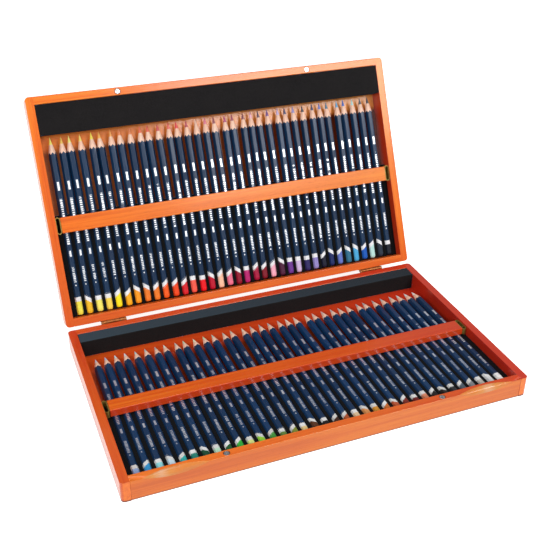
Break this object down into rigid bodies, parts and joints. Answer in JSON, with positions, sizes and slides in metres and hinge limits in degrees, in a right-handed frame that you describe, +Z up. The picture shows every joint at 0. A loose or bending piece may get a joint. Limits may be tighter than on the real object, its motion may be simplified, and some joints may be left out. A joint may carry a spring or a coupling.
{
  "type": "hinged wooden pencil case",
  "caption": "Flat wooden case that opens on two brass hinges, with a row of coloured pencils in each half lying on foam under a wooden bar.",
  "frame": {"origin": "middle of the base tray's underside, on the surface that the case stands on", "axes": "+X along the case to its right end seen from the front, +Y from the finger-scoop edge towards the hinges, +Z up"},
  "size_m": [0.376, 0.3373, 0.2233],
  "materials": {
    "stained_wood": "satin varnish over orange stain",
    "foam": "matte black foam",
    "brass": "polished",
    "magnet_metal": "nickel plated",
    "navy_paint": "gloss lacquer",
    "lead_aqua": "waxy colour core",
    "lead_green": "waxy colour core",
    "lead_olive": "waxy colour core",
    "lead_brown": "waxy colour core",
    "lead_umber": "waxy colour core",
    "lead_grey": "waxy colour core",
    "lead_yellow": "waxy colour core",
    "lead_orange": "waxy colour core",
    "lead_red": "waxy colour core",
    "lead_pink": "waxy colour core",
    "lead_violet": "waxy colour core",
    "lead_blue": "waxy colour core"
  },
  "bodies": {
    "base_tray": {"base_left_rail": "stained_wood", "base_right_rail": "stained_wood", "base_front_rail": "stained_wood", "base_back_rail": "stained_wood", "base_panel": "stained_wood", "base_filler_block": "foam", "base_pencil_rest": "foam", "base_left_clip": "brass", "base_right_clip": "brass", "base_clip_brads": "brass", "base_left_hinge_leaf": "brass", "base_right_hinge_leaf": "brass", "base_hinge_screws": "brass", "base_magnets": "magnet_metal", "base_casings_aqua": "navy_paint", "base_leads_aqua": "lead_aqua", "base_casings_green": "navy_paint", "base_leads_green": "lead_green", "base_casings_olive": "navy_paint", "base_leads_olive": "lead_olive", "base_casings_brown": "navy_paint", "base_leads_brown": "lead_brown", "base_casings_umber": "navy_paint", "base_leads_umber": "lead_umber", "base_casings_grey": "navy_paint", "base_leads_grey": "lead_grey", "left_hinge_pin": "brass", "right_hinge_pin": "brass"},
    "lid_tray": {"lid_left_rail": "stained_wood", "lid_right_rail": "stained_wood", "lid_front_rail": "stained_wood", "lid_back_rail": "stained_wood", "lid_panel": "stained_wood", "lid_filler_block": "foam", "lid_pencil_rest": "foam", "lid_left_clip": "brass", "lid_right_clip": "brass", "lid_clip_brads": "brass", "lid_left_hinge_leaf": "brass", "lid_right_hinge_leaf": "brass", "lid_hinge_screws": "brass", "lid_magnets": "magnet_metal", "lid_casings_yellow": "navy_paint", "lid_leads_yellow": "lead_yellow", "lid_casings_orange": "navy_paint", "lid_leads_orange": "lead_orange", "lid_casings_red": "navy_paint", "lid_leads_red": "lead_red", "lid_casings_pink": "navy_paint", "lid_leads_pink": "lead_pink", "lid_casings_violet": "navy_paint", "lid_leads_violet": "lead_violet", "lid_casings_blue": "navy_paint", "lid_leads_blue": "lead_blue"},
    "base_bar": {"base_bar": "stained_wood"},
    "lid_bar": {"lid_bar": "stained_wood"}
  },
  "joints": [
    {"name": "lid_hinge", "type": "hinge", "parent": "base_tray", "child": "lid_tray", "pos_m": [0, 0.11305, 0.02025], "axis": [1, 0, 0], "range_deg": [0, 115]},
    {"name": "base_bar_lift", "type": "slide", "parent": "base_tray", "child": "base_bar", "axis": [0, 0, 1], "range_m": [0, 0.0095]},
    {"name": "lid_bar_lift", "type": "slide", "parent": "lid_tray", "child": "lid_bar", "axis": [0, -0.9063, 0.4226], "range_m": [0, 0.0095]}
  ]
}
